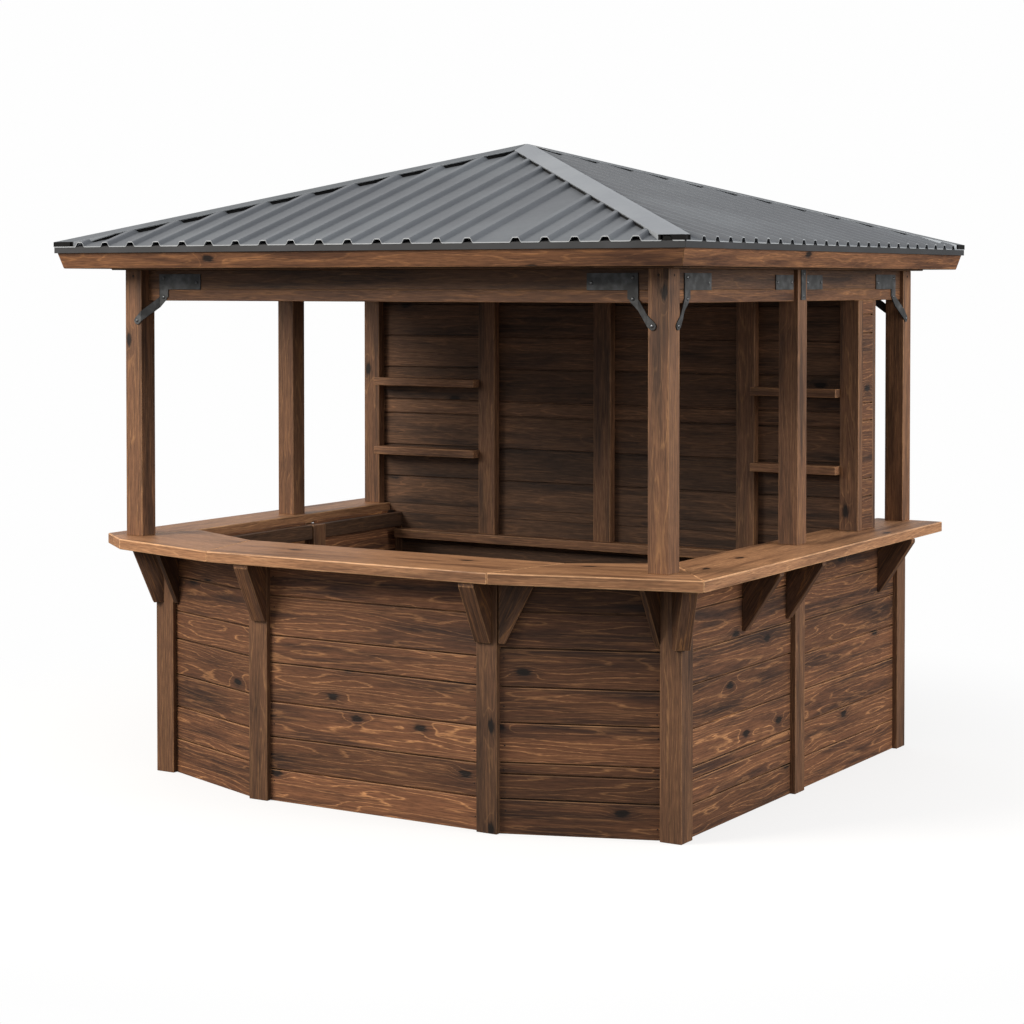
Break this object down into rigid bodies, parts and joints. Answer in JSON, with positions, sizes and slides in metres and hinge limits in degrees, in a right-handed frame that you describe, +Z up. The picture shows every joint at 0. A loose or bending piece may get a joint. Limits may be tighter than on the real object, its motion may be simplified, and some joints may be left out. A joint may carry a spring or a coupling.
{
  "type": "open timber kiosk",
  "caption": "Open timber kiosk with a bowed serving counter on three sides, a boarded back wall with shelves and a ribbed steel pyramid roof.",
  "frame": {"origin": "centre of the overall plan, at ground level", "axes": "+X to the right along the serving front, +Y from the front to the back wall, +Z up"},
  "size_m": [3.3194, 3.167, 2.941],
  "materials": {
    "siding_timber": "dark stained, sawn",
    "frame_timber": "stained, planed",
    "counter_timber": "stained, planed",
    "roof_steel": "satin coated sheet",
    "bracket_steel": "dark coated flat bar"
  },
  "bodies": {
    "root": {"back_end_boards": "siding_timber", "back_ledge_and_shelves": "frame_timber", "back_outer_trim": "frame_timber", "back_studs": "frame_timber", "back_wall_boards": "siding_timber", "back_wall_cleats": "frame_timber", "back_wall_core": "frame_timber", "back_wall_outer_boards": "siding_timber", "back_wall_plate": "frame_timber", "base_bow_posts": "frame_timber", "base_corner_posts": "frame_timber", "base_side_posts": "frame_timber", "beam_lower_boards": "frame_timber", "beam_upper_boards": "frame_timber", "counter_edge_rail": "frame_timber", "counter_front": "counter_timber", "counter_front_left": "counter_timber", "counter_front_right": "counter_timber", "counter_left": "counter_timber", "counter_right": "counter_timber", "drip_edges": "roof_steel", "end_plates": "frame_timber", "fascia_boards": "frame_timber", "front_brackets": "frame_timber", "front_posts": "frame_timber", "front_wall_left": "siding_timber", "front_wall_middle": "siding_timber", "front_wall_right": "siding_timber", "hip_caps": "roof_steel", "hip_rafters": "frame_timber", "middle_posts": "frame_timber", "peak_block": "frame_timber", "rear_posts": "frame_timber", "roof_battens": "frame_timber", "roof_sheet_back": "roof_steel", "roof_sheet_front": "roof_steel", "roof_sheet_left": "roof_steel", "roof_sheet_right": "roof_steel", "side_brackets": "frame_timber", "side_plates": "frame_timber", "side_wall_left": "siding_timber", "side_wall_right": "siding_timber", "slope_rafters": "frame_timber", "steel_brackets": "bracket_steel", "wall_rails": "frame_timber"}
  },
  "joints": []
}
